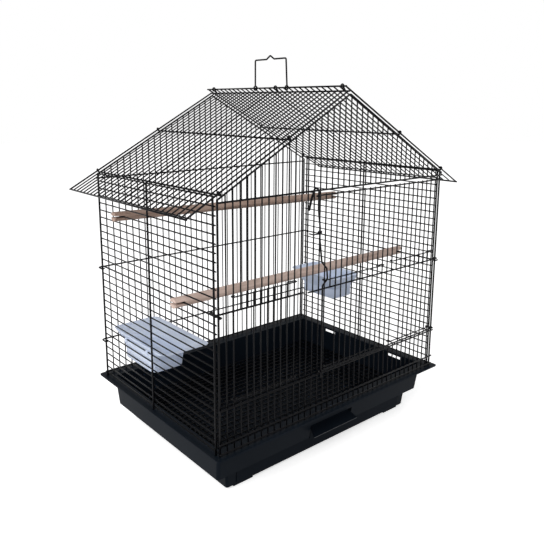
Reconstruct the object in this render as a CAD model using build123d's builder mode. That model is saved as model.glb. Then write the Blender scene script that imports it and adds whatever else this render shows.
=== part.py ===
from build123d import *
import math
import os

os.makedirs("parts", exist_ok=True)

# Wire body: the bars stand half an inch apart, and the front's gaps and the sides' rows set its size
bar_pitch = 12.7
front_gaps = 39
side_rows = 29
rafter_gaps = 28
body_depth = 352.8
bar_width = 2.2
strut_width = 2.8
post_width = 3.2
weld_gap = 0.02
play = 0.3
half_width = front_gaps * bar_pitch / 2
half_depth = body_depth / 2

# Base: a rim that the wire body stands on, a tub, and a lower box that holds the drawer
rim_half = (258.5, 187.0)
rim_top_z = 86.0
rim_thickness = 2.4
rim_corner = 4.0
skirt_half = (250.5, 179.5)
skirt_bottom_z = 78.5
skirt_thickness = 2.5
tub_top_half = (241.0, 163.0)
tub_bottom_half = (237.7, 155.5)
tub_bottom_z = 33.0
tub_corner = 5.0
wall = 2.8
slot_spans = ((-118, -84), (60, 90))
slot_bottom_z, slot_top_z = 76.5, 82.5
box_half = (216.0, 147.0)
box_foot_half = (213.0, 144.0)
foot_height = 4.0
rail_inner, rail_outer = 160.0, 198.0
rail_half_length = 142.0
niche_half_width = 50.0
niche_top_z = 56.0
niche_back_y = -147.0

# Levels above the floor
bar_foot_z = rim_top_z + play
bottom_z = rim_top_z + 4
low_wire_z = bottom_z + 15
sill_z = bottom_z + 66.5
back_sill_z = bottom_z + 64
door_foot_z = bottom_z + 70.5
middle_row = 16
middle_row_z = bottom_z + middle_row * bar_pitch - 0.3
back_middle_z = bottom_z + 200.5
front_middle_z = bottom_z + 208.5
door_middle_z = bottom_z + 206.3
door_top_z = bottom_z + 353.5
wall_top_z = bottom_z + 361.2
ridge_z = bottom_z + 508

# Layers, outwards from the front bars' own plane
strut_layer = (bar_width + strut_width) / 2 + weld_gap
feeder_wire = 2.4
feeder_layer = strut_layer + strut_width / 2 + play + bar_width / 2
feeder_wire_layer = feeder_layer - (bar_width + feeder_wire) / 2 - weld_gap
latch_layer = feeder_wire_layer + feeder_wire / 2 + play + strut_width / 2 + 0.1

# Front wall: the large door runs from its first bar to the right corner, with two feeder doors in it
door_first_bar = 16
feeder_spans = {"feeder_door_left": (2, 11), "feeder_door_middle": (16, 27), "feeder_door_right": (29, 38)}
feeder_foot_z = bottom_z + 76
feeder_top_z = bottom_z + 228.5
clip_z = bottom_z + 296

# Roof: two slopes of rafters, the right one running on past the top of the left one
roof_slope = 0.5476
eave_reach = 297.85
left_ridge_reach = 3.0
right_ridge_reach = -10.2
purlin_reaches = (123.5, 246.0)
rafter_end = rafter_gaps * bar_pitch / 2
rake_head_x = 1.2
handle_legs = (-47.7, 34.4)
handle_height = 47.5
handle_peak = 6.0

# Side walls and what hangs on them
post_inset = 6.9
side_post_y = 4.0
perch_diameter = 15.9
perch_half_length = 262.0
perch_slot = 3.5
cup_wall = 2.2
cup_corner = 12.0
corner_flats = 3
hook_thickness = 2.0
hook_length = 4.0
hook_drop = 4.0

# Drawer and floor grate
drawer_half = (195.0, 140.0)
drawer_middle_y = -6.0
drawer_height = 22.0
drawer_wall = 2.4
drawer_gap = 1.0
drawer_foot_z = 2 * foot_height + play
web_y = niche_back_y - wall - 0.5
web_half_width = 45.0
hood_top_z = 53.0
hood_depth = 22.0
hood_end_half_width = 52.0
grate_half = (228.0, 145.0)
grate_gaps = (36, 23)
grate_z = tub_bottom_z + wall + 2.6


def bar_x(index):
    """Middle of a front or back bar, counted from the left corner."""
    return index * bar_pitch - half_width


def wires(starts, run, width, facing, sides=6):
    """Straight parallel wires from the start points along run, each with a flat towards facing."""
    section_plane = Plane(origin=starts[0], x_dir=facing, z_dir=run)
    with BuildSketch(section_plane) as sections:
        with Locations(*[section_plane.to_local_coords(Vector(*start)) for start in starts]):
            RegularPolygon(width / 2, sides, major_radius=False, rotation=180 / sides)
    extrude(sections.sketch, amount=Vector(*run).length)


def rod(start, end, width, facing):
    """One thicker wire between two points."""
    wires([start], tuple(Vector(*end) - Vector(*start)), width, facing, sides=8)


def bent_wire(points, width, facing):
    """A thicker wire bent sharply at each point."""
    with BuildLine() as path:
        Polyline(*points)
    with BuildSketch(Plane(origin=path.line @ 0, x_dir=facing, z_dir=path.line % 0)) as section:
        RegularPolygon(width / 2, 8, major_radius=False, rotation=22.5)
    sweep(section.sketch, path=path.line, transition=Transition.RIGHT)


def linked_rods(points, width, facing):
    """A wire bent squarely at each point, as straight runs: each run covers the corner at its end."""
    for index, (start, end) in enumerate(zip(points, points[1:])):
        along = (Vector(*end) - Vector(*start)).normalized()
        head = Vector(*start) + along * (width / 2 + weld_gap) if index else Vector(*start)
        tail = Vector(*end) + along * (width / 2) if index < len(points) - 2 else Vector(*end)
        rod(tuple(head), tuple(tail), width, facing)


def loop(centre, axis, bore, width):
    """A wire end curled right round another wire, as an eight-sided ring."""
    with BuildSketch(Plane(origin=centre, z_dir=axis)) as ring:
        RegularPolygon(bore + width, 8, major_radius=False, rotation=22.5)
        RegularPolygon(bore, 8, major_radius=False, rotation=22.5, mode=Mode.SUBTRACT)
    extrude(ring.sketch, amount=width / 2, both=True)


def finish(piece, name):
    """Label a finished piece and write it out."""
    piece.part.label = name
    export_step(piece.part, f"parts/{name}.step")


def free_bore(width, sides):
    """Half the flat-to-flat bore of a loop that turns or slides freely on a wire."""
    return width / 2 / math.cos(math.pi / sides) + play


def slope_point(side, reach, y, lift=0.0):
    """A point of a roof slope: reach runs from the middle down to the eave, lift square off the rafters."""
    angle = math.atan(roof_slope)
    x = side * (reach + lift * math.sin(angle))
    return (x, y, ridge_z - roof_slope * reach + lift * math.cos(angle))


# Gables: their rakes carry the purlins, which carry the rafters
purlin_drop = -strut_layer
rake_drop = purlin_drop - strut_width - weld_gap
rake_apex_z = slope_point(1, 0, 0)[2] + rake_drop / math.cos(math.atan(roof_slope))
rake_cuts = [Plane(origin=(0, 0, rake_apex_z), z_dir=(side * roof_slope, 0, 1)) for side in (-1, 1)]


def bars_to_rakes(indexes, y, foot_z):
    """Bars from a given height up to the two rakes, where slanting cuts end them."""
    wires([(bar_x(index), y, foot_z) for index in indexes], (0, 0, rake_apex_z - foot_z), bar_width, (0, 1, 0))


def gable_wires(y, strut_y, top_z):
    """The corner posts, the bottom and wall-top wires and the two rakes of a gabled wall."""
    corner_z = rake_apex_z - roof_slope * half_width
    for side in (-1, 1):
        x = side * half_width
        post_y = y + math.copysign((post_width - bar_width) / 2, -y)
        rod((x, post_y, bar_foot_z), (x, post_y, corner_z - strut_width), post_width, (0, 1, 0))
        head_z = rake_apex_z - roof_slope * rake_head_x
        rod((x + side, strut_y, corner_z - roof_slope), (side * rake_head_x, strut_y, head_z), strut_width, (0, 1, 0))
    for z in (bottom_z, top_z):
        rod((-half_width - 2, strut_y, z), (half_width + 2, strut_y, z), strut_width, (0, 1, 0))


# Front wall: full bars on the left, short bars above and below the doors
front_y = -half_depth
front_strut_y = front_y - strut_layer
left_span = feeder_spans["feeder_door_left"]
covered_bars = list(range(left_span[0] + 1, left_span[1]))
full_bars = [index for index in range(1, door_first_bar) if index not in covered_bars]
over_door_bars = list(range(door_first_bar, front_gaps))
hook_x = half_width + 6.2
hook_y = half_depth - post_inset - 5.2
hook_end_x = half_width + 1.6

with BuildPart() as front_panel:
    bars_to_rakes(full_bars, front_y, bar_foot_z)
    bars_to_rakes(covered_bars, front_y, front_middle_z - strut_width / 2)
    bars_to_rakes(over_door_bars, front_y, wall_top_z - strut_width / 2)
    for rake_cut in rake_cuts:
        split(bisect_by=rake_cut, keep=Keep.BOTTOM)
    short_starts = [(bar_x(index), front_y, bar_foot_z) for index in covered_bars + over_door_bars]
    wires(short_starts, (0, 0, sill_z + strut_width / 2 - bar_foot_z), bar_width, (0, 1, 0))
    gable_wires(front_y, front_strut_y, wall_top_z)
    for z in (low_wire_z, sill_z):
        rod((-half_width - 2, front_strut_y, z), (half_width + 2, front_strut_y, z), strut_width, (0, 1, 0))
    linked_rods(
        [
            (bar_x(12) + 3.4, front_strut_y, front_middle_z),
            (-hook_x, front_strut_y, front_middle_z),
            (-hook_x, -hook_y, front_middle_z),
            (-hook_end_x, -hook_y, front_middle_z),
        ],
        strut_width,
        (0, 0, 1),
    )
finish(front_panel, "front_panel")

# Back wall: bars right across, with two struts hooked round the side walls
back_y = half_depth
back_strut_y = back_y + strut_layer

with BuildPart() as back_panel:
    bars_to_rakes(range(1, front_gaps), back_y, bar_foot_z)
    for rake_cut in rake_cuts:
        split(bisect_by=rake_cut, keep=Keep.BOTTOM)
    gable_wires(back_y, back_strut_y, wall_top_z - 1)
    for z in (back_sill_z, back_middle_z):
        linked_rods(
            [
                (-hook_end_x, hook_y, z),
                (-hook_x, hook_y, z),
                (-hook_x, back_strut_y, z),
                (hook_x, back_strut_y, z),
                (hook_x, hook_y, z),
                (hook_end_x, hook_y, z),
            ],
            strut_width,
            (0, 0, 1),
        )
finish(back_panel, "back_panel")


def side_wall(side):
    """Level rows on three upright wires; the middle row ends in a hook round the front corner post."""
    x = side * half_width
    row_end = half_depth - post_inset + post_width / 2
    rows = [row for row in range(side_rows + 1) if row != middle_row]
    wires([(x, -row_end, bottom_z + row * bar_pitch) for row in rows], (0, 2 * row_end, 0), bar_width, (1, 0, 0))
    post_x = x + side * ((bar_width + post_width) / 2 + weld_gap)
    post_rise = side_rows * bar_pitch + bottom_z - bar_foot_z + 1.5
    for y in (-half_depth + post_inset, side_post_y, half_depth - post_inset):
        rod((post_x, y, bar_foot_z), (post_x, y, bar_foot_z + post_rise), post_width, (1, 0, 0))
    row_x = x - side * (strut_width - bar_width) / 2
    inner_x = x - side * (post_width + strut_width + 0.1) / 2
    row_y = -half_depth + 8.0
    rod((row_x, row_end, middle_row_z), (row_x, row_y + weld_gap, middle_row_z), strut_width, (0, 0, 1))
    bent_wire(
        [
            (row_x, row_y, middle_row_z),
            (row_x, -half_depth + 5.8, middle_row_z),
            (inner_x, -half_depth + 2.9, middle_row_z),
            (inner_x, -half_depth - 3.1, middle_row_z),
            (x + side * 3.5, -half_depth - 3.1, middle_row_z),
        ],
        strut_width,
        (0, 0, 1),
    )


# Side walls
with BuildPart() as left_panel:
    side_wall(-1)
finish(left_panel, "left_panel")

with BuildPart() as right_panel:
    side_wall(1)
finish(right_panel, "right_panel")


def slope(side, ridge_reach):
    """One roof slope: rafters welded to a ridge wire and an eave wire, over two purlins."""
    tip = (bar_width / 2 + weld_gap) * math.cos(math.atan(roof_slope))
    head = ridge_reach + tip + (strut_width - bar_width) / 2
    foot = eave_reach - tip - (strut_width - bar_width) / 2
    run = tuple(Vector(*slope_point(side, foot, 0)) - Vector(*slope_point(side, head, 0)))
    facing = tuple(Vector(*slope_point(side, 0, 0, 1)) - Vector(*slope_point(side, 0, 0)))
    starts = [slope_point(side, head, gap * bar_pitch - rafter_end) for gap in range(rafter_gaps + 1)]
    wires(starts, run, bar_width, facing)
    for reach in (ridge_reach, eave_reach):
        rod(slope_point(side, reach, -rafter_end - 2), slope_point(side, reach, rafter_end + 2), strut_width, facing)
    for reach in purlin_reaches:
        start = slope_point(side, reach, -rafter_end - 3.5, purlin_drop)
        rod(start, slope_point(side, reach, rafter_end + 3.5, purlin_drop), strut_width, facing)


# Roof
with BuildPart() as roof_left:
    slope(-1, left_ridge_reach)
finish(roof_left, "roof_left")

with BuildPart() as roof_right:
    slope(1, right_ridge_reach)
finish(roof_right, "roof_right")

# Carrying handle, looped round the upper ridge wire
handle_x, _, handle_z = slope_point(1, right_ridge_reach, 0)
handle_bore = free_bore(strut_width, 8)

with BuildPart() as handle:
    for y in handle_legs:
        loop((handle_x, y, handle_z), (0, 1, 0), handle_bore, strut_width)
    leg_z = handle_z + handle_bore + strut_width / 2
    grip_z = handle_z + handle_height
    bent_wire(
        [
            (handle_x, handle_legs[0], leg_z),
            (handle_x, handle_legs[0] + 2.7, grip_z),
            (handle_x, -15.1, grip_z),
            (handle_x, -5.3, grip_z + handle_peak),
            (handle_x, 4.3, grip_z),
            (handle_x, handle_legs[1], grip_z),
            (handle_x, handle_legs[1], leg_z),
        ],
        strut_width,
        (1, 0, 0),
    )
finish(handle, "handle")

# Latch rod on the free edge of the large door: its top reaches over the wall-top wire
latch_y = front_y - latch_layer
latch_top_x = bar_x(14.5) - 3.0
latch_clip_x = bar_x(14.5) + 0.9
latch_foot_x = bar_x(15) + 2.55
latch_tail_z = wall_top_z + strut_width / 2 + play
latch_bridge_z = wall_top_z + 3.3
latch_bend_z = door_top_z - 20
latch_bore = free_bore(strut_width, 8)
eye_wire = 2.0

with BuildPart() as door_latch:
    linked_rods(
        [
            (latch_top_x, front_y + 2.6, latch_tail_z),
            (latch_top_x, front_y + 2.6, latch_bridge_z),
            (latch_top_x, latch_y, latch_bridge_z),
            (latch_top_x, latch_y, latch_bend_z + 2 + weld_gap),
        ],
        strut_width,
        (1, 0, 0),
    )
    bent_wire(
        [
            (latch_top_x, latch_y, latch_bend_z + 2),
            (latch_top_x, latch_y, latch_bend_z),
            (latch_clip_x, latch_y, clip_z + 10),
            (latch_clip_x, latch_y, clip_z - 8),
            (bar_x(15), latch_y, bottom_z + 251),
            (bar_x(16) - 1.5, latch_y, bottom_z + 239),
            (bar_x(16) + 0.5, latch_y, bottom_z + 222),
            (latch_foot_x, latch_y, bottom_z + 213),
            (latch_foot_x, latch_y, door_foot_z - 9),
        ],
        strut_width,
        (1, 0, 0),
    )
finish(door_latch, "door_latch")

# Latch clip: a short arm that turns on the rod and drops its end between two fixed bars
with BuildPart() as latch_clip:
    loop((latch_clip_x, latch_y, clip_z), (0, 0, 1), latch_bore, eye_wire)
    bent_wire(
        [
            (latch_clip_x - latch_bore - eye_wire / 2, latch_y, clip_z),
            (bar_x(13.5), latch_y, clip_z),
            (bar_x(13.5), front_y + 3, clip_z),
        ],
        eye_wire,
        (0, 0, 1),
    )
finish(latch_clip, "latch_clip")

# Large door: full bars between the feeder openings, short ones above them, loops on the corner post
hinge_x = half_width
hinge_y = front_y + (post_width - bar_width) / 2
hinge_bore = free_bore(post_width, 8)
door_covered = [
    index for span in list(feeder_spans.values())[1:] for index in range(span[0] + 1, span[1])
]
door_full = [index for index in range(door_first_bar, front_gaps) if index not in door_covered]

with BuildPart() as main_door:
    full_foot = door_foot_z - strut_width / 2
    short_foot = door_middle_z - strut_width / 2
    top_end = door_top_z + strut_width / 2
    strut_end = hinge_x - hinge_bore - 0.5
    wires([(bar_x(index), front_y, full_foot) for index in door_full], (0, 0, top_end - full_foot), bar_width, (0, 1, 0))
    short_starts = [(bar_x(index), front_y, short_foot) for index in door_covered]
    wires(short_starts, (0, 0, top_end - short_foot), bar_width, (0, 1, 0))
    for z, tongue_x in ((door_foot_z, latch_foot_x), (door_middle_z, bar_x(13)), (door_top_z, latch_top_x)):
        rod((bar_x(door_first_bar) - 2, front_strut_y, z), (strut_end, front_strut_y, z), strut_width, (0, 1, 0))
        rod((tongue_x, front_strut_y, z), (bar_x(door_first_bar), front_strut_y, z), bar_width, (0, 1, 0))
        loop((hinge_x, hinge_y, z), (0, 0, 1), hinge_bore, eye_wire)
    for x, z in ((latch_foot_x, door_foot_z), (latch_top_x, door_top_z)):
        loop((x, latch_y, z), (0, 0, 1), latch_bore, eye_wire)
finish(main_door, "main_door")


def feeder_door(first, last):
    """A sliding door: bars midway between the fixed ones, top and bottom wires looped round two bars."""
    y = front_y - feeder_layer
    starts = [(bar_x(index + 0.5), y, feeder_foot_z - 2) for index in range(first + 1, last - 1)]
    wires(starts, (0, 0, feeder_top_z - feeder_foot_z + 4), bar_width, (0, 1, 0))
    wire_y = front_y - feeder_wire_layer
    for z in (feeder_foot_z, feeder_top_z):
        rod((bar_x(first), wire_y, z), (bar_x(last), wire_y, z), feeder_wire, (0, 1, 0))
        for index in (first, last):
            loop((bar_x(index), front_y, z), (0, 0, 1), free_bore(bar_width, 6), eye_wire)


# Feeder doors
for name, (first, last) in feeder_spans.items():
    with BuildPart() as feeder:
        feeder_door(first, last)
    finish(feeder, name)


def perch(y, left_z, right_z, wire):
    """A dowel with a saw cut in each end that sits astride a row of each side wall."""
    start = Vector(-perch_half_length, y, left_z)
    run = Vector(perch_half_length, y, right_z) - start
    with BuildSketch(Plane(origin=start, x_dir=(0, 1, 0), z_dir=run)) as section:
        Circle(perch_diameter / 2)
    extrude(section.sketch, amount=run.length)
    cut_depth = perch_half_length - half_width + wire / 2 + 1
    for end, inwards in ((start, run), (start + run, run * -1)):
        with BuildSketch(Plane(origin=end, x_dir=(0, 1, 0), z_dir=inwards)) as cut:
            Rectangle(perch_diameter + 2, perch_slot)
        extrude(cut.sketch, amount=cut_depth, mode=Mode.SUBTRACT)


# Perches
with BuildPart() as perch_lower:
    perch(-83.0, middle_row_z, middle_row_z, strut_width)
finish(perch_lower, "perch_lower")

with BuildPart() as perch_upper:
    row_rise = bar_pitch * perch_half_length / half_width / 2
    perch_mean_z = bottom_z + 23.5 * bar_pitch
    perch(95.0, perch_mean_z + row_rise, perch_mean_z - row_rise, bar_width)
finish(perch_upper, "perch_upper")


def cup_outline(middle, depth, length, corner):
    """The corners of a cup's outline, each rounded off in a few flats."""
    points = []
    for quarter, (side_x, side_y) in enumerate(((1, 1), (-1, 1), (-1, -1), (1, -1))):
        for step in range(corner_flats + 1):
            turn = math.radians(90 * (quarter + step / corner_flats))
            x = middle[0] + side_x * (depth / 2 - corner) + corner * math.cos(turn)
            y = middle[1] + side_y * (length / 2 - corner) + corner * math.sin(turn)
            points.append((x, y))
    return points


def cup(side, foot_z, sections, hook_row):
    """A cup against a side wall: stacked outlines give its flare, and two hooks hang it on a row."""
    back_x = side * (half_width - bar_width / 2 - play)
    for thickness, mode in ((0, Mode.ADD), (cup_wall, Mode.SUBTRACT)):
        outlines = []
        for rise, depth, start_y, end_y in sections:
            floor = thickness if rise == 0 else 0
            middle = (back_x - side * depth / 2, (start_y + end_y) / 2)
            size = (depth - 2 * thickness, end_y - start_y - 2 * thickness)
            with BuildSketch(Plane.XY.offset(foot_z + rise + floor)) as outline:
                with BuildLine():
                    Polyline(*cup_outline(middle, *size, cup_corner - thickness), close=True)
                make_face()
            outlines.append(outline.sketch)
        loft(outlines, ruled=True, mode=mode)
    hook_z = bottom_z + hook_row * bar_pitch + bar_width / 2 + 0.2
    root_x, wire_x = back_x - side * cup_wall / 2, back_x + side * (bar_width + 2 * play)
    outer_x = wire_x + side * hook_thickness
    for start_y in (sections[0][2] + 12, sections[0][3] - 12 - hook_length):
        with BuildSketch(Plane.XZ.offset(-start_y)) as hook:
            with BuildLine():
                Polyline(
                    (root_x, hook_z),
                    (wire_x, hook_z),
                    (wire_x, hook_z - hook_drop),
                    (outer_x, hook_z - hook_drop),
                    (outer_x, hook_z + hook_thickness),
                    (root_x, hook_z + hook_thickness),
                    close=True,
                )
            make_face()
        extrude(hook.sketch, amount=-hook_length)


# Cups: rise, depth and the two ends of each outline
shallow_outlines = [(0, 60, 8, 107), (20, 62, 6, 109), (30, 66, 0, 117), (36, 79, -14, 137), (41, 90, -28, 150)]
deep_outlines = [(0, 59, 20, 112), (20, 61, 20, 112), (38, 72, 6, 126), (50, 78, 0, 132)]

with BuildPart() as cup_left:
    cup(-1, bottom_z + 55, shallow_outlines, 7)
finish(cup_left, "cup_left")

with BuildPart() as cup_right:
    cup(1, bottom_z + 88.5, deep_outlines, 10)
finish(cup_right, "cup_right")


def tapered_block(lower_half, lower_z, upper_half, upper_z, corner, mode=Mode.ADD):
    """A block whose rounded outline grows from its lower to its upper level."""
    outlines = []
    for half, z in ((lower_half, lower_z), (upper_half, upper_z)):
        with BuildSketch(Plane.XY.offset(z)) as outline:
            RectangleRounded(2 * half[0], 2 * half[1], corner)
        outlines.append(outline.sketch)
    loft(outlines, ruled=True, mode=mode)


def inset(half, amount):
    """Half sizes reduced all round."""
    return (half[0] - amount, half[1] - amount)


# Base tub: a flat rim with a skirt under it, tapering walls, a ledge for the grate, and the drawer's box below
with BuildPart() as base_tub:
    tapered_block(box_foot_half, foot_height, box_half, tub_bottom_z, rim_corner)
    tapered_block(tub_bottom_half, tub_bottom_z, tub_top_half, rim_top_z, tub_corner)
    with BuildSketch(Plane.XY.offset(rim_top_z - rim_thickness)):
        RectangleRounded(2 * rim_half[0], 2 * rim_half[1], rim_corner)
    extrude(amount=rim_thickness)
    with BuildSketch(Plane.XY.offset(skirt_bottom_z)):
        Rectangle(2 * skirt_half[0], 2 * skirt_half[1])
        Rectangle(2 * (skirt_half[0] - skirt_thickness), 2 * (skirt_half[1] - skirt_thickness), mode=Mode.SUBTRACT)
    extrude(amount=rim_top_z - rim_thickness - skirt_bottom_z)
    tub_inside = (inset(tub_bottom_half, wall), inset(tub_top_half, wall))
    tapered_block(tub_inside[0], tub_bottom_z + wall, tub_inside[1], rim_top_z, tub_corner - wall, Mode.SUBTRACT)
    for side in (-1, 1):
        for start_y, end_y in slot_spans:
            with Locations((side * tub_top_half[0], (start_y + end_y) / 2, (slot_bottom_z + slot_top_z) / 2)):
                Box(4 * wall, end_y - start_y, slot_top_z - slot_bottom_z, mode=Mode.SUBTRACT)
    with BuildSketch(Plane.XZ.offset(-niche_back_y)):
        with Locations((0, tub_bottom_z)):
            niche_width = 2 * (niche_half_width + wall)
            Rectangle(niche_width, niche_top_z + wall - tub_bottom_z, align=(Align.CENTER, Align.MIN))
    extrude(amount=8)
    with BuildSketch(Plane.XZ.offset(wall - niche_back_y)):
        with Locations((0, tub_bottom_z - 1)):
            Rectangle(2 * niche_half_width, niche_top_z - tub_bottom_z + 1, align=(Align.CENTER, Align.MIN))
    extrude(amount=20, mode=Mode.SUBTRACT)
    cavity_front_y = -box_half[1] - wall - drawer_gap
    cavity_back_y = drawer_middle_y + drawer_half[1] + drawer_gap
    with BuildSketch(Plane.XY.offset(drawer_foot_z - play)):
        with Locations((0, (cavity_front_y + cavity_back_y) / 2)):
            Rectangle(2 * (drawer_half[0] + drawer_gap), cavity_back_y - cavity_front_y)
    extrude(amount=tub_bottom_z + wall + 1 - drawer_foot_z, mode=Mode.SUBTRACT)
    for side in (-1, 1):
        with Locations((side * (rail_inner + rail_outer) / 2, 0, foot_height)):
            Box(rail_outer - rail_inner, 2 * rail_half_length, 2 * foot_height)
finish(base_tub, "base_tub")

# Drawer: an open tray whose front closes the box, with a hooded grip that stands up in the tub's niche
with BuildPart() as drawer:
    for half, floor, mode in ((drawer_half, 0, Mode.ADD), (inset(drawer_half, drawer_wall), drawer_wall, Mode.SUBTRACT)):
        with BuildSketch(Plane.XY.offset(drawer_foot_z + floor)):
            with Locations((0, drawer_middle_y)):
                Rectangle(2 * half[0], 2 * half[1])
        extrude(amount=drawer_height, mode=mode)
    drawer_top_z = drawer_foot_z + drawer_height
    web_front_y = web_y - drawer_wall
    with BuildSketch(Plane.XY.offset(drawer_top_z - drawer_wall)):
        with Locations((0, drawer_middle_y - drawer_half[1] + 1)):
            flange_depth = drawer_middle_y - drawer_half[1] + 1 - web_front_y
            Rectangle(2 * web_half_width, flange_depth, align=(Align.CENTER, Align.MAX))
    extrude(amount=drawer_wall)
    with BuildSketch(Plane.XY.offset(drawer_top_z - drawer_wall)):
        with Locations((0, web_y)):
            Rectangle(2 * web_half_width, drawer_wall, align=(Align.CENTER, Align.MAX))
    extrude(amount=hood_top_z - drawer_top_z)
    with BuildSketch(Plane(origin=(0, web_y - 1.5, hood_top_z), x_dir=(1, 0, 0), z_dir=(0, -2, 3))):
        with BuildLine():
            Polyline(
                (-web_half_width, 0),
                (web_half_width, 0),
                (hood_end_half_width, -hood_depth),
                (-hood_end_half_width, -hood_depth),
                close=True,
            )
        make_face()
    extrude(amount=-drawer_wall)
finish(drawer, "drawer")

# Floor grate: welded wires that rest on the tub's ledge
with BuildPart() as floor_grate:
    for count, half, across, run, z in (
        (grate_gaps[0], grate_half[0], 0, (0, 2 * grate_half[1], 0), grate_z),
        (grate_gaps[1], grate_half[1], 1, (2 * grate_half[0], 0, 0), grate_z + bar_width + weld_gap),
    ):
        steps = [index * 2 * half / count - half for index in range(count + 1)]
        if across == 0:
            starts = [(step, -grate_half[1], z) for step in steps]
        else:
            starts = [(-grate_half[0], step, z) for step in steps]
        wires(starts, run, bar_width, (0, 0, 1))
finish(floor_grate, "floor_grate")
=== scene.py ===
import math

import bmesh
import bpy
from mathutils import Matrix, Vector


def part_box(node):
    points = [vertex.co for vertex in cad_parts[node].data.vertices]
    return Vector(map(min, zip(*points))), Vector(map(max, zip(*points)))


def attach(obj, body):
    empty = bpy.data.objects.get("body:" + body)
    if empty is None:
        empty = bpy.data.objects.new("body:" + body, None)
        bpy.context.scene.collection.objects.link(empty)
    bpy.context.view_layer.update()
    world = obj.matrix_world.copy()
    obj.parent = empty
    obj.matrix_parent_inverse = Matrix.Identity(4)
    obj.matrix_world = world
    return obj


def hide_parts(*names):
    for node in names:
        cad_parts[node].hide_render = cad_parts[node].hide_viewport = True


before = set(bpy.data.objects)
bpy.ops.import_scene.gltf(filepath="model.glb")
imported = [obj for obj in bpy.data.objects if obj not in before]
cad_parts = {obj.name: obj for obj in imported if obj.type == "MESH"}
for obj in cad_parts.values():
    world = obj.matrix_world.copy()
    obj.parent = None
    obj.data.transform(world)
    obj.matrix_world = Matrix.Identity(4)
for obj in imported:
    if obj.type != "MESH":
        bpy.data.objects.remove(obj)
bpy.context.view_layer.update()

# Sizes are in millimetres, as on the real cage, and become metres when a mesh is made
METRES = 0.001
BAR_PITCH = 12.7
FRONT_GAPS = 39
SIDE_ROWS = 29
RAFTER_GAPS = 28
HALF_WIDTH = FRONT_GAPS * BAR_PITCH / 2
HALF_DEPTH = 176.4
RAFTER_END = RAFTER_GAPS * BAR_PITCH / 2
SIDES = (-1, 1)

# Wire thicknesses
BAR = 2.2
STRUT = 2.8
POST = 3.2
CURLED_STRUT = BAR + 0.3
THIN_WIRE = 2.0
LATCH_TIP = 3.8

# Levels above the floor
RIM_TOP = 86.0
BAR_FOOT = RIM_TOP + 0.3
BOTTOM = 90.0
LOW_WIRE = BOTTOM + 15
SILL = BOTTOM + 66.5
BACK_SILL = BOTTOM + 64
DOOR_FOOT = BOTTOM + 70.5
DOOR_MIDDLE = BOTTOM + 206.3
DOOR_TOP = BOTTOM + 353.5
WALL_TOP = BOTTOM + 361.2
BACK_WALL_TOP = WALL_TOP - 1
FRONT_MIDDLE = BOTTOM + 208.5
BACK_MIDDLE = BOTTOM + 200.5
MIDDLE_ROW = 16
MIDDLE_ROW_Z = BOTTOM + MIDDLE_ROW * BAR_PITCH - 0.3
RIDGE = BOTTOM + 508
FEEDER_FOOT = BOTTOM + 76
CLIP_Z = BOTTOM + 296

# Layers outwards from the plane of the front bars
STRUT_LAYER = (BAR + STRUT) / 2
FEEDER_LAYER = 5.32
FEEDER_WIRE_LAYER = 3.0
LATCH_LAYER = 6.02
FRONT_Y = -HALF_DEPTH
FRONT_STRUT_Y = FRONT_Y - STRUT_LAYER
BACK_STRUT_Y = HALF_DEPTH + STRUT_LAYER
POST_Y = HALF_DEPTH - (POST - BAR) / 2
LATCH_Y = FRONT_Y - LATCH_LAYER

# Roof
ROOF_SLOPE = 0.5476
SLOPE_ANGLE = math.atan(ROOF_SLOPE)
EAVE_REACH = 297.85
LEFT_RIDGE_REACH = 3.0
RIGHT_RIDGE_REACH = -10.2
PURLIN_REACHES = (123.5, 246.0)
RIDGE_RING_GAPS = (0.5, 12.5, 26.5)
RAKE_DROP = STRUT_LAYER + STRUT
RAKE_APEX = RIDGE - RAKE_DROP / math.cos(SLOPE_ANGLE)

# Bars, counted from the left corner, that the doors start and end at, and the feeder doors' top wires
DOOR_FIRST_BAR = 16
FEEDER_SPANS = {"left": (2, 11), "middle": (16, 27), "right": (29, 38)}
FEEDER_TOPS = {"left": BOTTOM + 228.5, "middle": BOTTOM + 219.3, "right": BOTTOM + 222.5}

# Curls and bends
TUBE_SIDES = 10
BEND_RADIUS = 4.5
TIGHT_BEND = 3.0
CURL = 2.9
CURL_START, CURL_SWEEP = -110, 320
ALONG_X, ALONG_Y, ALONG_Z = (1, 0, 0), (0, 1, 0), (0, 0, 1)


def bar_x(index):
    """Middle of a front or back bar, counted from the left corner."""
    return index * BAR_PITCH - HALF_WIDTH


def rafter_y(gap):
    """Place of a rafter along the ridge, counted from the front."""
    return gap * BAR_PITCH - RAFTER_END


def slope_point(side, reach, y, lift=0.0):
    """A point of a roof slope: reach runs from the middle down to the eave, lift square off the rafters."""
    x = side * (reach + lift * math.sin(SLOPE_ANGLE))
    return (x, y, RIDGE - ROOF_SLOPE * reach + lift * math.cos(SLOPE_ANGLE))


# Wires


def bent(points, radius=BEND_RADIUS, steps=6):
    """A path through the points with each corner turned into an arc."""
    points = [Vector(p) for p in points]
    path = [points[0]]
    for before, corner, after in zip(points, points[1:], points[2:]):
        back, ahead = before - corner, after - corner
        turn = math.pi - back.angle(ahead)
        reach = min(radius * math.tan(turn / 2), back.length * 0.49, ahead.length * 0.49)
        start, end = corner + back.normalized() * reach, corner + ahead.normalized() * reach
        for step in range(steps + 1):
            t = step / steps
            path.append(start.lerp(corner, t).lerp(corner.lerp(end, t), t))
    return path + [points[-1]]


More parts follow.
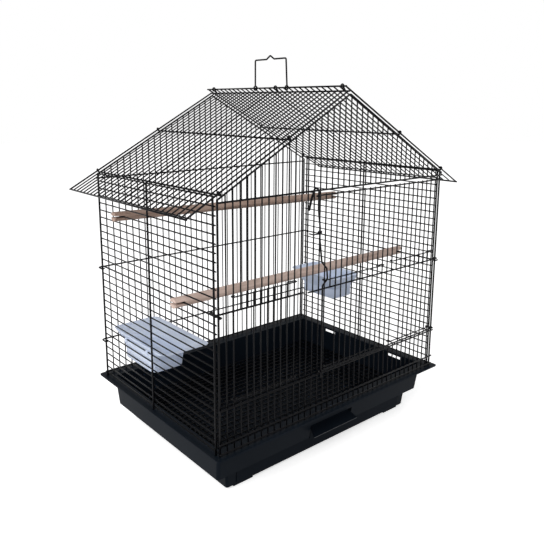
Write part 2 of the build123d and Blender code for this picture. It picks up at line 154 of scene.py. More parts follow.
def ring(centre, across, up, radius, start_deg, sweep_deg, climb=0.0, steps=20):
    """Points round a centre in the plane of across and up, with an optional climb along its axis."""
    across, up = Vector(across), Vector(up)
    axis = across.cross(up)
    points = []
    for step in range(steps + 1):
        angle = math.radians(start_deg + sweep_deg * step / steps)
        offset = across * math.cos(angle) + up * math.sin(angle)
        points.append(Vector(centre) + offset * radius + axis * climb * step / steps)
    return points


def add_tube(mesh, path, diameter, sides=TUBE_SIDES):
    """Adds a round wire with slightly domed ends along a path."""
    path = [Vector(p) for p in path]
    path = [p for n, p in enumerate(path) if n == 0 or (p - path[n - 1]).length > 1e-4]
    tangents = []
    for n in range(len(path)):
        ahead = path[min(n + 1, len(path) - 1)] - path[max(n - 1, 0)]
        tangents.append(ahead.normalized())
    helper = Vector(ALONG_Z) if abs(tangents[0].z) < 0.9 else Vector(ALONG_Y)
    normal = tangents[0].cross(helper).normalized()
    radius = diameter / 2
    dome, dome_radius = radius * 0.45, radius * 0.55
    stations = [(path[0] - tangents[0] * dome, tangents[0], dome_radius)]
    stations += [(p, t, radius) for p, t in zip(path, tangents)]
    stations.append((path[-1] + tangents[-1] * dome, tangents[-1], dome_radius))
    loops = []
    for point, tangent, reach in stations:
        normal = (normal - tangent * normal.dot(tangent)).normalized()
        binormal = tangent.cross(normal)
        loop = []
        for side in range(sides):
            angle = 2 * math.pi * side / sides
            offset = normal * math.cos(angle) + binormal * math.sin(angle)
            loop.append(mesh.verts.new((point + offset * reach) * METRES))
        loops.append(loop)
    skin(mesh, loops)


def skin(mesh, loops):
    """Joins loops of vertices into a closed skin with a face at either end."""
    for lower, upper in zip(loops, loops[1:]):
        for index in range(len(lower)):
            following = (index + 1) % len(lower)
            mesh.faces.new((lower[index], lower[following], upper[following], upper[index]))
    mesh.faces.new(loops[0][::-1])
    mesh.faces.new(loops[-1])


def make_object(name, mesh, material, smooth=True):
    """Turns a bmesh into a shaded object of the scene."""
    bmesh.ops.recalc_face_normals(mesh, faces=mesh.faces)
    data = bpy.data.meshes.new(name)
    mesh.to_mesh(data)
    mesh.free()
    for polygon in data.polygons:
        polygon.use_smooth = smooth
    data.materials.append(material)
    piece = bpy.data.objects.new(name, data)
    bpy.context.scene.collection.objects.link(piece)
    return piece


def stand_for(piece, node, body):
    """The piece takes a node's place and moves with its body."""
    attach(piece, body)
    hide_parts(node)


def wire_piece(node, body, wires):
    """One piece of wirework from its paths and their diameters."""
    mesh = bmesh.new()
    for path, diameter in wires:
        add_tube(mesh, path, diameter)
    piece = make_object(node + "_wires", mesh, WIRE)
    stand_for(piece, node, body)


# Materials


def new_material(name, colour, roughness):
    """A principled material and its nodes, with the uniform values set on the shader itself."""
    material = bpy.data.materials.new(name)
    material.use_nodes = True
    nodes = material.node_tree.nodes
    shader = nodes["Principled BSDF"]
    shader.inputs["Base Color"].default_value = (*colour, 1)
    shader.inputs["Roughness"].default_value = roughness
    return material, shader


def object_noise(material, scale, detail, stretch=(1, 1, 1)):
    """A noise texture in the object's own coordinates."""
    nodes, links = material.node_tree.nodes, material.node_tree.links
    coordinates = nodes.new("ShaderNodeTexCoord")
    mapping = nodes.new("ShaderNodeMapping")
    mapping.inputs["Scale"].default_value = stretch
    noise = nodes.new("ShaderNodeTexNoise")
    noise.inputs["Scale"].default_value = scale
    noise.inputs["Detail"].default_value = detail
    links.new(coordinates.outputs["Object"], mapping.inputs["Vector"])
    links.new(mapping.outputs["Vector"], noise.inputs["Vector"])
    return noise.outputs["Fac"]


def add_bump(material, shader, height, distance, strength):
    """Feeds a texture to the shader as fine relief; the distance is in metres."""
    nodes, links = material.node_tree.nodes, material.node_tree.links
    bump = nodes.new("ShaderNodeBump")
    bump.inputs["Distance"].default_value = distance
    bump.inputs["Strength"].default_value = strength
    links.new(height, bump.inputs["Height"])
    links.new(bump.outputs["Normal"], shader.inputs["Normal"])


def ramp(material, value, *stops):
    """A colour ramp fed by a value; stops are (position, colour)."""
    nodes, links = material.node_tree.nodes, material.node_tree.links
    node = nodes.new("ShaderNodeValToRGB")
    elements = node.color_ramp.elements
    while len(elements) < len(stops):
        elements.new(0.5)
    for element, (position, colour) in zip(elements, stops):
        element.position = position
        element.color = (*colour, 1)
    links.new(value, node.inputs["Fac"])
    return node.outputs["Color"]


def mix_shaders(tree, first, second):
    """Mixes two shaders; the factor, which the caller sets, is the second one's share."""
    mix = tree.nodes.new("ShaderNodeMixShader")
    tree.links.new(first, mix.inputs[1])
    tree.links.new(second, mix.inputs[2])
    return mix


def powder_coat():
    """Black powder coating: satin, with a faint orange peel."""
    material, shader = new_material("black_powder_coat", (0.002, 0.002, 0.003), roughness=0.36)
    shader.inputs["Specular IOR Level"].default_value = 0.09
    peel = object_noise(material, scale=900.0, detail=2.0)
    add_bump(material, shader, peel, distance=0.00012, strength=0.35)
    broad = object_noise(material, scale=22.0, detail=3.0)
    shade = ramp(material, broad, (0.3, (0.0014, 0.0014, 0.002)), (0.7, (0.0030, 0.0030, 0.0042)))
    material.node_tree.links.new(shade, shader.inputs["Base Color"])
    return material


def moulded_black():
    """Dark moulded plastic with a fine grain and a soft gloss."""
    material, shader = new_material("moulded_black_plastic", (0.006, 0.009, 0.014), roughness=0.30)
    shader.inputs["Specular IOR Level"].default_value = 0.02
    grain = object_noise(material, scale=1400.0, detail=3.0)
    add_bump(material, shader, grain, distance=0.0001, strength=0.30)
    cloud = object_noise(material, scale=9.0, detail=4.0)
    shade = ramp(material, cloud, (0.3, (0.0044, 0.0068, 0.0105)), (0.7, (0.0062, 0.0090, 0.0135)))
    rough = ramp(material, cloud, (0.25, (0.26, 0.26, 0.26)), (0.75, (0.38, 0.38, 0.38)))
    links = material.node_tree.links
    links.new(shade, shader.inputs["Base Color"])
    links.new(rough, shader.inputs["Roughness"])
    return material


def white_cup_plastic():
    """Thin bluish-white plastic that lets some light through."""
    material, shader = new_material("white_cup_plastic", (0.74, 0.80, 0.89), roughness=0.32)
    shader.inputs["Subsurface Weight"].default_value = 0.5
    shader.inputs["Subsurface Radius"].default_value = (0.009, 0.009, 0.010)
    tree = material.node_tree
    through = tree.nodes.new("ShaderNodeBsdfTranslucent")
    through.inputs["Color"].default_value = (0.83, 0.89, 1.0, 1)
    mix = mix_shaders(tree, shader.outputs["BSDF"], through.outputs["BSDF"])
    mix.inputs["Fac"].default_value = 0.4
    tree.links.new(mix.outputs["Shader"], tree.nodes["Material Output"].inputs["Surface"])
    ripple = object_noise(material, scale=45.0, detail=2.0)
    add_bump(material, shader, ripple, distance=0.0006, strength=0.20)
    cloud = object_noise(material, scale=16.0, detail=3.0)
    shade = ramp(material, cloud, (0.3, (0.685, 0.74, 0.84)), (0.7, (0.77, 0.82, 0.91)))
    tree.links.new(shade, shader.inputs["Base Color"])
    return material


def dowel_wood(name, pale, dark):
    """Turned beech: long streaks and short flecks along the dowel."""
    material, shader = new_material(name, pale, roughness=0.55)
    streaks = object_noise(material, scale=60.0, detail=6.0, stretch=(0.06, 1.0, 1.0))
    flecks = object_noise(material, scale=260.0, detail=3.0, stretch=(0.10, 1.0, 1.0))
    nodes, links = material.node_tree.nodes, material.node_tree.links
    mix = nodes.new("ShaderNodeMix")
    mix.data_type = "RGBA"
    mix.blend_type = "MULTIPLY"
    mix.inputs["Factor"].default_value = 0.45
    base = ramp(material, streaks, (0.30, dark), (0.52, pale), (0.75, pale))
    fleck = ramp(material, flecks, (0.42, (0.62, 0.55, 0.50)), (0.55, (1.0, 1.0, 1.0)))
    links.new(base, mix.inputs["A"])
    links.new(fleck, mix.inputs["B"])
    links.new(mix.outputs["Result"], shader.inputs["Base Color"])
    add_bump(material, shader, streaks, distance=0.0006, strength=0.5)
    return material


WIRE = powder_coat()
TRAY = moulded_black()
CUP = white_cup_plastic()
PALE_WOOD = dowel_wood("pale_beech_dowel", pale=(0.60, 0.46, 0.40), dark=(0.40, 0.29, 0.24))
BROWN_WOOD = dowel_wood("brown_beech_dowel", pale=(0.40, 0.28, 0.225), dark=(0.24, 0.157, 0.12))


# Front and back walls
STRUT_END = HALF_WIDTH + 2
RAKE_FOOT, RAKE_HEAD = HALF_WIDTH + 1, 0.7
POST_TOP_GAP = 1
HOOK_OUT = HALF_WIDTH + 6.2
HOOK_BACK = HALF_DEPTH - 12.1
FRONT_MIDDLE_END = bar_x(12) + 3.4


def upright(x, y, start_z, end_z):
    """A straight upright wire."""
    return [(x, y, start_z), (x, y, end_z)]


def rake_z(x):
    """Height of a gable's rake over a point of its wall."""
    return RAKE_APEX - ROOF_SLOPE * abs(x)


def level_bars(indexes, y, foot_z, top_z):
    """Bars between two levels."""
    return [(upright(bar_x(index), y, foot_z, top_z), BAR) for index in indexes]


def raked_bars(indexes, y, foot_z):
    """Bars from a level up to the gable's rakes."""
    return [(upright(bar_x(index), y, foot_z, rake_z(bar_x(index))), BAR) for index in indexes]


def struts(levels, y):
    """Straight struts right across the cage."""
    return [([(-STRUT_END, y, z), (STRUT_END, y, z)], STRUT) for z in levels]


def gable(y, strut_y, top_z):
    """Corner posts, bottom and wall-top wires and the two rakes of a gabled wall."""
    post_y = math.copysign(POST_Y, y)
    post_top = rake_z(HALF_WIDTH) - POST_TOP_GAP
    wires = [(upright(side * HALF_WIDTH, post_y, BAR_FOOT, post_top), POST) for side in SIDES]
    wires += struts((BOTTOM, top_z), strut_y)
    for side in SIDES:
        rake = [(side * x, strut_y, rake_z(x)) for x in (RAKE_FOOT, RAKE_HEAD)]
        wires.append((rake, STRUT))
    return wires


def corner_hook(side, z):
    """A strut's end carried round a side wall's post and tucked in."""
    return [
        (side * STRUT_END, -HOOK_BACK, z),
        (side * HOOK_OUT, -HOOK_BACK, z),
        (side * HOOK_OUT, FRONT_STRUT_Y, z),
    ]


def inside_span(span):
    """The bars between a feeder door's first and last one."""
    return range(span[0] + 1, span[1])


covered = inside_span(FEEDER_SPANS["left"])
full = [index for index in range(1, DOOR_FIRST_BAR) if index not in covered]
over_door = range(DOOR_FIRST_BAR, FRONT_GAPS)

front = gable(FRONT_Y, FRONT_STRUT_Y, WALL_TOP)
front += raked_bars(full, FRONT_Y, BAR_FOOT)
front += raked_bars(covered, FRONT_Y, FRONT_MIDDLE - STRUT / 2)
front += raked_bars(over_door, FRONT_Y, WALL_TOP - STRUT / 2)
front += level_bars([*covered, *over_door], FRONT_Y, BAR_FOOT, SILL + STRUT / 2)
front += struts((LOW_WIRE, SILL), FRONT_STRUT_Y)
middle_strut = [*corner_hook(-1, FRONT_MIDDLE), (FRONT_MIDDLE_END, FRONT_STRUT_Y, FRONT_MIDDLE)]
front.append((bent(middle_strut), STRUT))
wire_piece("front_panel", "cage", front)

back = gable(HALF_DEPTH, BACK_STRUT_Y, BACK_WALL_TOP)
back += raked_bars(range(1, FRONT_GAPS), HALF_DEPTH, BAR_FOOT)
for z in (BACK_SILL, BACK_MIDDLE):
    strut = [*corner_hook(-1, z), *corner_hook(1, z)[::-1]]
    mirrored = [(x, -y, z) for x, y, z in strut]
    back.append((bent(mirrored), STRUT))
wire_piece("back_panel", "cage", back)


# Side walls
ROW_END = HALF_DEPTH - 5.3
SIDE_POSTS = (-169.5, 4.0, 169.5)
SIDE_POST_TOP = BOTTOM + SIDE_ROWS * BAR_PITCH + 1.5
ROW_HOOK_BEND = 2.4


def side_wall(side):
    """Level rows on three posts; the middle row hooks round the front corner post."""
    x = side * HALF_WIDTH
    levels = [BOTTOM + row * BAR_PITCH for row in range(SIDE_ROWS + 1) if row != MIDDLE_ROW]
    wires = [([(x, -ROW_END, z), (x, ROW_END, z)], BAR) for z in levels]
    post_x = x + side * (BAR + POST) / 2
    wires += [(upright(post_x, y, BAR_FOOT, SIDE_POST_TOP), POST) for y in SIDE_POSTS]
    row_x, inner_x, outer_x = x - side * 0.3, x - side * 3.05, x + side * 3.5
    past_post_y = FRONT_Y - 3.1
    hook = [
        (row_x, ROW_END, MIDDLE_ROW_Z),
        (row_x, FRONT_Y + 6.6, MIDDLE_ROW_Z),
        (inner_x, FRONT_Y + 2.9, MIDDLE_ROW_Z),
        (inner_x, past_post_y, MIDDLE_ROW_Z),
        (outer_x, past_post_y, MIDDLE_ROW_Z),
    ]
    wires.append((bent(hook, ROW_HOOK_BEND), STRUT))
    return wires


wire_piece("left_panel", "cage", side_wall(-1))
wire_piece("right_panel", "cage", side_wall(1))


# Roof
PURLIN_CURL = STRUT_LAYER + 0.2
RIDGE_OVERRUN = 2


def purlin(side, reach):
    """A purlin whose ends curl up round the outermost rafters."""
    up = (side * math.sin(SLOPE_ANGLE), 0, math.cos(SLOPE_ANGLE))
    path = []
    for end in SIDES:
        rafter = slope_point(side, reach, end * RAFTER_END)
        curl = ring(rafter, (0, end, 0), up, PURLIN_CURL, start_deg=-90, sweep_deg=265, steps=16)
        path = curl[::-1] + path if end == -1 else path + curl
    return path


def slope(side, ridge_reach):
    """Rafters from a ridge wire to an eave wire, over two purlins; the end and middle ones are thicker."""
    wires = []
    for gap in range(RAFTER_GAPS + 1):
        thick = gap % (RAFTER_GAPS // 2) == 0
        width, lift = (STRUT, (STRUT - BAR) / 2) if thick else (BAR, 0)
        ends = [slope_point(side, reach, rafter_y(gap), lift) for reach in (ridge_reach, EAVE_REACH)]
        wires.append((ends, width))
    for reach in (ridge_reach, EAVE_REACH):
        ends = [slope_point(side, reach, end * (RAFTER_END + RIDGE_OVERRUN)) for end in SIDES]
        wires.append((ends, STRUT))
    wires += [(purlin(side, reach), STRUT) for reach in PURLIN_REACHES]
    return wires


def ridge_ring(y):
    """An eye that ties the left slope's ridge wire to the right slope's, which stands above it."""
    centre = slope_point(1, RIGHT_RIDGE_REACH, y)
    eye = ring(centre, ALONG_X, ALONG_Z, CURL, start_deg=-25, sweep_deg=CURL_SWEEP)
    return [slope_point(-1, LEFT_RIDGE_REACH, y), *eye]


left_slope = slope(-1, LEFT_RIDGE_REACH)
left_slope += [(ridge_ring(rafter_y(gap)), CURLED_STRUT) for gap in RIDGE_RING_GAPS]
wire_piece("roof_left", "cage", left_slope)
wire_piece("roof_right", "cage", slope(1, RIGHT_RIDGE_REACH))


# Handle, with a small peak in its grip
HANDLE_X, _, HANDLE_Z = slope_point(1, RIGHT_RIDGE_REACH, 0)
FRONT_LEG_Y, BACK_LEG_Y = -47.7, 34.4
LEG_FOOT_Z = HANDLE_Z + 4
GRIP_Z = HANDLE_Z + 47.5
PEAK_Z = GRIP_Z + 6
HANDLE_EYE = 3.2
EYE_CLIMB = 0.9


def handle_eye(y, side):
    """The curl at a leg's foot, round the ridge wire."""
    centre = (HANDLE_X, y, HANDLE_Z)
    return ring(centre, ALONG_X, ALONG_Z, HANDLE_EYE, 120, 330, climb=side * EYE_CLIMB, steps=22)


legs_and_grip = [
    (HANDLE_X, FRONT_LEG_Y, LEG_FOOT_Z),
    (HANDLE_X, FRONT_LEG_Y + 2.7, GRIP_Z),
    (HANDLE_X, -15.1, GRIP_Z),
    (HANDLE_X, -5.3, PEAK_Z),
    (HANDLE_X, 4.3, GRIP_Z),
    (HANDLE_X, BACK_LEG_Y, GRIP_Z),
    (HANDLE_X, BACK_LEG_Y, LEG_FOOT_Z),
]
front_eye, back_eye = handle_eye(FRONT_LEG_Y, -1), handle_eye(BACK_LEG_Y, 1)
handle_path = [*front_eye, *bent(legs_and_grip, TIGHT_BEND), *back_eye[::-1]]
wire_piece("handle", "carrying_handle", [(handle_path, STRUT)])


# Large door
HINGE_CURL = 3.15
HINGE_STRAIGHT_END = HALF_WIDTH - 6
TONGUE_TIP = bar_x(13) + 1
LATCH_TOP_X = bar_x(14.5) - 3.0
LATCH_CLIP_X = bar_x(14.5) + 0.9
LATCH_FOOT_X = bar_x(15) + 2.55


def hinge_end(z):
    """The end of a door strut and its curl round the corner post."""
    curl = ring((HALF_WIDTH, -POST_Y, z), ALONG_X, ALONG_Y, HINGE_CURL, CURL_START, CURL_SWEEP, steps=24)
    return [(HINGE_STRAIGHT_END, FRONT_STRUT_Y, z), *curl]


def rod_eye(x, z):
    """The curl at a strut's free end, round the latch rod, and the start of the strut."""
    curl = ring((x, LATCH_Y, z), ALONG_X, ALONG_Y, CURL, start_deg=70, sweep_deg=330, steps=22)
    return [*curl[::-1], (x + 5, FRONT_STRUT_Y, z)]


door_covered = [*inside_span(FEEDER_SPANS["middle"]), *inside_span(FEEDER_SPANS["right"])]
door_full = [index for index in over_door if index not in door_covered]
door = level_bars(door_full, FRONT_Y, DOOR_FOOT - STRUT / 2, DOOR_TOP + STRUT / 2)
door += level_bars(door_covered, FRONT_Y, DOOR_MIDDLE - STRUT / 2, DOOR_TOP + STRUT / 2)
for z, eye_x in ((DOOR_FOOT, LATCH_FOOT_X), (DOOR_TOP, LATCH_TOP_X)):
    door.append(([*rod_eye(eye_x, z), *hinge_end(z)], CURLED_STRUT))
tongue = [(TONGUE_TIP, FRONT_STRUT_Y, DOOR_MIDDLE), *hinge_end(DOOR_MIDDLE)]
door.append((tongue, CURLED_STRUT))
wire_piece("main_door", "large_door", door)


# Latch rod: a tail inside the cage, over the wall-top wire, and the rod down the door's left edge
ROD_BEND = 5.0
OVER_WALL_TOP = WALL_TOP + 3.0
latch_tail = [
    (LATCH_TOP_X, -162.5, BOTTOM + 329.5),
    (LATCH_TOP_X, -166.0, BOTTOM + 343),
    (LATCH_TOP_X, -169.5, BOTTOM + 353),
]
latch_rod = [
    *latch_tail,
    (LATCH_TOP_X, -173.4, OVER_WALL_TOP),
    (LATCH_TOP_X, LATCH_Y, OVER_WALL_TOP),
    (LATCH_TOP_X, LATCH_Y, DOOR_TOP - 20),
    (LATCH_CLIP_X, LATCH_Y, CLIP_Z + 10),
    (LATCH_CLIP_X, LATCH_Y, CLIP_Z - 8),
    (bar_x(15), LATCH_Y, BOTTOM + 251),
    (bar_x(16) - 1.5, LATCH_Y, BOTTOM + 239),
    (bar_x(16) + 0.5, LATCH_Y, BOTTOM + 222),
    (LATCH_FOOT_X, LATCH_Y, BOTTOM + 213),
    (LATCH_FOOT_X, LATCH_Y, DOOR_FOOT - 9),
]
latch_wires = [(bent(latch_rod, ROD_BEND), STRUT), (bent(latch_tail, TIGHT_BEND), LATCH_TIP)]
wire_piece("door_latch", "latch", latch_wires)

# Clip: two turns round the rod and a tail that reaches in between the bars
CLIP_COIL = 2.7
CLIP_TAIL_X = bar_x(13.5)
clip_tail = [
    (LATCH_CLIP_X - 3.2, LATCH_Y - 1.2, CLIP_Z),
    (CLIP_TAIL_X, LATCH_Y, CLIP_Z),
    (CLIP_TAIL_X, FRONT_Y + 3, CLIP_Z),
]
clip_centre = (LATCH_CLIP_X, LATCH_Y, CLIP_Z)
clip_coil = ring(clip_centre, ALONG_X, ALONG_Y, CLIP_COIL, 160, -690, climb=4.4, steps=44)
clip_path = [*clip_coil[::-1], *bent(clip_tail, TIGHT_BEND)]
wire_piece("latch_clip", "clip", [(clip_path, THIN_WIRE)])


# Feeder doors
FEEDER_STRAIGHT_START = 4
FEEDER_BAR_OVERRUN = 2
LEFT_RETURN, RIGHT_RETURN = 4.0, 12.0


def feeder_curl(index, z, side):
    """The curl of a feeder door's bottom wire round a fixed bar."""
    centre = (bar_x(index), FRONT_Y, z)
    return ring(centre, (side, 0, 0), ALONG_Y, CURL, CURL_START, CURL_SWEEP, steps=22)


def feeder_return(index, z, side, length):
    """A half turn of the top wire round a fixed bar, which runs back behind the bars."""
    centre = (bar_x(index), FRONT_Y, z)
    turn = ring(centre, (side, 0, 0), ALONG_Y, CURL, start_deg=-90, sweep_deg=180, steps=12)
    return [*turn, (bar_x(index) - side * length, FRONT_Y + CURL, z)]


def feeder_run(first, last, z):
    """The straight stretch of a feeder door's wire between two fixed bars."""
    y = FRONT_Y - FEEDER_WIRE_LAYER
    return [(bar_x(first) + FEEDER_STRAIGHT_START, y, z), (bar_x(last) - FEEDER_STRAIGHT_START, y, z)]


for place, (first, last) in FEEDER_SPANS.items():
    foot, top = FEEDER_FOOT, FEEDER_TOPS[place]
    between_bars = [index + 0.5 for index in range(first + 1, last - 1)]
    bar_ends = (foot - FEEDER_BAR_OVERRUN, top + FEEDER_BAR_OVERRUN)
    wires = level_bars(between_bars, FRONT_Y - FEEDER_LAYER, *bar_ends)
    left_end, right_end = feeder_curl(first, foot, -1), feeder_curl(last, foot, 1)
    wires.append(([*left_end[::-1], *feeder_run(first, last, foot), *right_end], THIN_WIRE))
    left_end = feeder_return(first, top, -1, LEFT_RETURN)
    right_end = feeder_return(last, top, 1, RIGHT_RETURN)
    wires.append(([*left_end[::-1], *feeder_run(first, last, top), *right_end], THIN_WIRE))
    wire_piece(f"feeder_door_{place}", f"{place}_feeder_door", wires)


# Floor grate: a lower layer of wires from front to back and an upper one from side to side
GRATE_GAPS_ACROSS, GRATE_GAPS_DEEP = 36, 23
GRATE_INSET = 1.3
LOWER_LAYER, UPPER_LAYER = 1.1, 3.2
low, high = [Vector(corner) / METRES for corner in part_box("floor_grate")]
start_x, end_x = low.x + GRATE_INSET, high.x - GRATE_INSET
start_y, end_y = low.y + GRATE_INSET, high.y - GRATE_INSET
grate = []
for step in range(GRATE_GAPS_ACROSS + 1):
    x = start_x + (end_x - start_x) * step / GRATE_GAPS_ACROSS
    grate.append(([(x, start_y, low.z + LOWER_LAYER), (x, end_y, low.z + LOWER_LAYER)], BAR))
for step in range(GRATE_GAPS_DEEP + 1):
    y = start_y + (end_y - start_y) * step / GRATE_GAPS_DEEP
    grate.append(([(start_x, y, low.z + UPPER_LAYER), (end_x, y, low.z + UPPER_LAYER)], BAR))
wire_piece("floor_grate", "grate", grate)


# Plastic and wood: carried-over solids with softened edges
SOFTENED_ANGLE = 35


def soften(node, width, material):
    """Rounds a carried-over solid's edges and gives it its finish."""
    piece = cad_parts[node]
    piece.data.materials.clear()
    piece.data.materials.append(material)
    bevel = piece.modifiers.new("soft_edges", "BEVEL")
    bevel.width = width * METRES
    bevel.segments = 3
    bevel.limit_method = "ANGLE"
    bevel.angle_limit = math.radians(SOFTENED_ANGLE)


soften("base_tub", 0.8, TRAY)
soften("drawer", 0.8, TRAY)
soften("perch_lower", 0.5, PALE_WOOD)
soften("perch_upper", 0.5, BROWN_WOOD)


# Cups: their sections are (rise, depth out from the wall, start y, end y)
SHALLOW_CUP = [(0, 60, 8, 107), (20, 62, 6, 109), (30, 66, 0, 117), (36, 79, -14, 137), (41, 90, -28, 150)]
DEEP_CUP = [(0, 59, 20, 112), (20, 61, 20, 112), (38, 72, 6, 126), (50, 78, 0, 132)]
CUP_WALL = 2.2
CUP_CORNER, SMALLEST_CORNER = 12.0, 3.0
CORNER_STEPS = 8
CUP_SHARP_ANGLE = 50

# Shifts of rise and inset that round a cup's foot, bends, bead, lip and floor
FOOT_CURVE = [(0.0, 1.6), (0.5, 0.6), (1.6, 0.0)]
BEND_SHIFTS = (-1.2, 0.0, 1.2)
BEAD_CURVE = [(-2.4, 0.0), (-1.8, -0.4), (-0.9, -0.7), (-0.2, -0.2)]
LIP_CURVE = [(0.0, CUP_WALL * 0.45), (-0.3, CUP_WALL * 0.9), (-1.5, CUP_WALL)]
FLOOR_CURVE = [(1.5, 0.0), (0.4, 0.6), (0.0, 1.8)]

# Hooks of the cups
HOOK_STARTS = (12, -16)
HOOK_WIDTH = 4
HOOK_THICKNESS = 2
HOOK_DROP = 4
HOOK_CLEARANCE = 0.6
TIP_INSET = 0.2
TIP_OVERLAP = 0.01


def rounded_outline(middle, depth, length, corner, z):
    """Points round an outline with rounded corners, at one level."""
    points = []
    for quarter, (side_x, side_y) in enumerate(((1, 1), (-1, 1), (-1, -1), (1, -1))):
        for step in range(CORNER_STEPS + 1):
            turn = math.radians(90 * (quarter + step / CORNER_STEPS))
            x = middle[0] + side_x * (depth / 2 - corner) + corner * math.cos(turn)
            y = middle[1] + side_y * (length / 2 - corner) + corner * math.sin(turn)
            points.append((x, y, z))
    return points


def add_box(mesh, low, high):
    """Adds a box between two corners."""
    corners = [(x, y, z) for x in (low[0], high[0]) for y in (low[1], high[1]) for z in (low[2], high[2])]
    verts = [mesh.verts.new(Vector(corner) * METRES) for corner in corners]
    for face in ((0, 1, 3, 2), (4, 6, 7, 5), (0, 4, 5, 1), (2, 3, 7, 6), (0, 2, 6, 4), (1, 5, 7, 3)):
        mesh.faces.new([verts[index] for index in face])


def section_at(sections, rise):
    """Depth and ends of a cup's outline at any rise, between its sections."""
    for (low, *start), (high, *end) in zip(sections, sections[1:]):
        if rise <= high:
            share = (rise - low) / (high - low)
            return [a + (b - a) * share for a, b in zip(start, end)]
    return sections[-1][1:]


def cup_profile(sections):
    """Rises and insets of a cup's outlines: up the outside, over the beaded rim and down the inside."""
    top = sections[-1][0]
    bends = [rise + shift for rise, *_ in sections[1:-1] for shift in BEND_SHIFTS]
    profile = [*FOOT_CURVE, *[(rise, 0.0) for rise in bends]]
    profile += [(top + shift, inset) for shift, inset in BEAD_CURVE + LIP_CURVE]
    profile += [(rise, CUP_WALL) for rise in reversed(bends)]
    profile += [(CUP_WALL + shift, CUP_WALL + inset) for shift, inset in FLOOR_CURVE]
    return profile


def add_cup_hooks(mesh, side, back_x, starts, row):
    """Adds two hooks that reach over a row of the side wall and down behind it."""
    z = BOTTOM + row * BAR_PITCH + BAR / 2 + 0.2
    root_x = back_x - side * CUP_WALL / 2
    wire_x = back_x + side * (BAR + HOOK_CLEARANCE)
    tip_x = wire_x + side * HOOK_THICKNESS
    for y in starts:
        low_x, high_x = sorted((root_x, tip_x))
        add_box(mesh, (low_x, y, z), (high_x, y + HOOK_WIDTH, z + HOOK_THICKNESS))
        low_x, high_x = sorted((wire_x, tip_x))
        tip_low = (low_x, y + TIP_INSET, z - HOOK_DROP)
        add_box(mesh, tip_low, (high_x, y + HOOK_WIDTH - TIP_INSET, z + TIP_OVERLAP))


def cup_piece(node, body, side, foot_z, sections, hook_row):
    """A thin moulded cup with a rounded foot, a beaded rim and two hooks over a row of its wall."""
    back_x = side * (HALF_WIDTH - BAR / 2 - 0.3)
    mesh = bmesh.new()
    loops = []
    for rise, inset in cup_profile(sections):
        depth, start_y, end_y = section_at(sections, rise)
        bead = side * max(0.0, -inset)
        middle = (back_x - side * depth / 2 - bead, (start_y + end_y) / 2)
        size = (depth - 2 * inset, end_y - start_y - 2 * inset)
        corner = max(CUP_CORNER - inset, SMALLEST_CORNER)
        points = rounded_outline(middle, *size, corner, foot_z + rise)
        loops.append([mesh.verts.new(Vector(point) * METRES) for point in points])
    skin(mesh, loops)
    hook_starts = [end + shift for end, shift in zip(sections[0][2:], HOOK_STARTS)]
    add_cup_hooks(mesh, side, back_x, hook_starts, hook_row)
    piece = make_object(node + "_moulding", mesh, CUP)
    piece.data.set_sharp_from_angle(angle=math.radians(CUP_SHARP_ANGLE))
    stand_for(piece, node, body)


cup_piece("cup_left", "left_cup", -1, BOTTOM + 55, SHALLOW_CUP, hook_row=7)
cup_piece("cup_right", "right_cup", 1, BOTTOM + 88.5, DEEP_CUP, hook_row=10)


# Camera at the photograph's viewing angle
PHOTO_SIZE = 544
FOCAL_PIXELS = 614.1
VIEW_CENTRE = (255.1, 224.0)
AZIMUTH, ELEVATION, ROLL = -39.40, 11.25, -0.02
CAMERA_PLACE = (-711.1, -818.2, 580.3)
camera_data = bpy.data.cameras.new("camera")
camera = bpy.data.objects.new("camera", camera_data)
bpy.context.scene.collection.objects.link(camera)
bpy.context.scene.camera = camera
camera_data.sensor_width = 36.0
camera_data.lens = FOCAL_PIXELS / PHOTO_SIZE * camera_data.sensor_width
camera_data.shift_x = (PHOTO_SIZE / 2 - VIEW_CENTRE[0]) / PHOTO_SIZE
camera_data.shift_y = (VIEW_CENTRE[1] - PHOTO_SIZE / 2) / PHOTO_SIZE
camera_data.clip_end = 50
camera.location = Vector(CAMERA_PLACE) * METRES
camera.rotation_mode = "XYZ"
camera.rotation_euler = (math.radians(90 - ELEVATION), math.radians(ROLL), math.radians(AZIMUTH))


# Studio, in metres
FLOOR_HALF_SIZE = 8.0
FLOOR_DROP = 0.0005
FLOOR_GLOW = 0.6
SKY_LIGHT, BACKDROP_LIGHT = 0.62, 1.0
WHITE = (1, 1, 1, 1)


def larger(tree, first, second):
    """The larger of two values."""
    node = tree.nodes.new("ShaderNodeMath")
    node.operation = "MAXIMUM"
    tree.links.new(first, node.inputs[0])
    tree.links.new(second, node.inputs[1])
    return node.outputs["Value"]


def seen_directly(tree):
    """One where a camera, glossy or transmission ray looks, and nought for the light that falls on things."""
    rays = tree.nodes.new("ShaderNodeLightPath").outputs
    either = larger(tree, rays["Is Camera Ray"], rays["Is Glossy Ray"])
    return larger(tree, either, rays["Is Transmission Ray"])


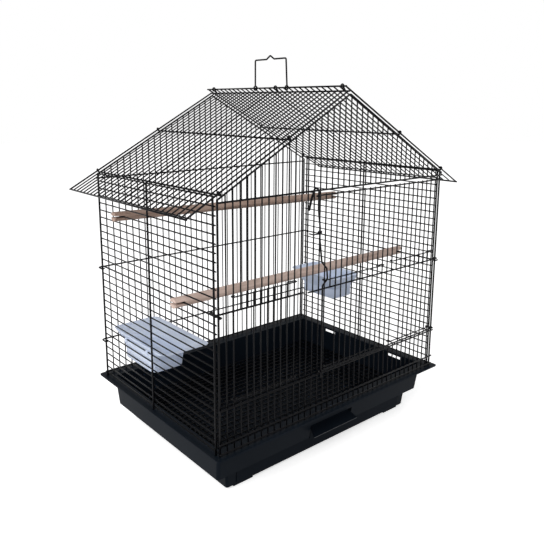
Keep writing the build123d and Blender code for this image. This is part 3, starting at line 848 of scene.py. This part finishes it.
def white_stage_material():
    """A pale floor that looks white where it is lit and still takes the object's shadow."""
    material, shader = new_material("studio_white", (0.86, 0.86, 0.86), roughness=0.9)
    tree = material.node_tree
    glow = tree.nodes.new("ShaderNodeEmission")
    glow.inputs["Color"].default_value = WHITE
    glow.inputs["Strength"].default_value = FLOOR_GLOW
    glowing = tree.nodes.new("ShaderNodeAddShader")
    tree.links.new(shader.outputs["BSDF"], glowing.inputs[0])
    tree.links.new(glow.outputs["Emission"], glowing.inputs[1])
    mix = mix_shaders(tree, shader.outputs["BSDF"], glowing.outputs["Shader"])
    tree.links.new(seen_directly(tree), mix.inputs["Fac"])
    tree.links.new(mix.outputs["Shader"], tree.nodes["Material Output"].inputs["Surface"])
    return material


def add_lamp(name, place, target, size, energy):
    """A soft square lamp aimed at a point."""
    data = bpy.data.lights.new(name, "AREA")
    data.size = size
    data.energy = energy
    lamp = bpy.data.objects.new(name, data)
    bpy.context.scene.collection.objects.link(lamp)
    lamp.location = place
    aim = Vector(target) - Vector(place)
    lamp.rotation_mode = "QUATERNION"
    lamp.rotation_quaternion = aim.to_track_quat("-Z", "Y")


floor_mesh = bmesh.new()
bmesh.ops.create_grid(floor_mesh, x_segments=1, y_segments=1, size=FLOOR_HALF_SIZE)
floor = make_object("floor", floor_mesh, white_stage_material(), smooth=False)
floor.location.z = -FLOOR_DROP

world = bpy.data.worlds.new("studio")
bpy.context.scene.world = world
world.use_nodes = True
world_tree = world.node_tree
sky = world_tree.nodes["Background"]
sky.inputs["Color"].default_value = WHITE
sky.inputs["Strength"].default_value = SKY_LIGHT
backdrop = world_tree.nodes.new("ShaderNodeBackground")
backdrop.inputs["Color"].default_value = WHITE
backdrop.inputs["Strength"].default_value = BACKDROP_LIGHT
world_mix = mix_shaders(world_tree, sky.outputs["Background"], backdrop.outputs["Background"])
world_tree.links.new(seen_directly(world_tree), world_mix.inputs["Fac"])
world_tree.links.new(world_mix.outputs["Shader"], world_tree.nodes["World Output"].inputs["Surface"])
add_lamp("key", place=(-2.5, -1.0, 2.1), target=(0, 0, 0.25), size=1.5, energy=62)
bpy.context.scene.view_settings.view_transform = "Standard"
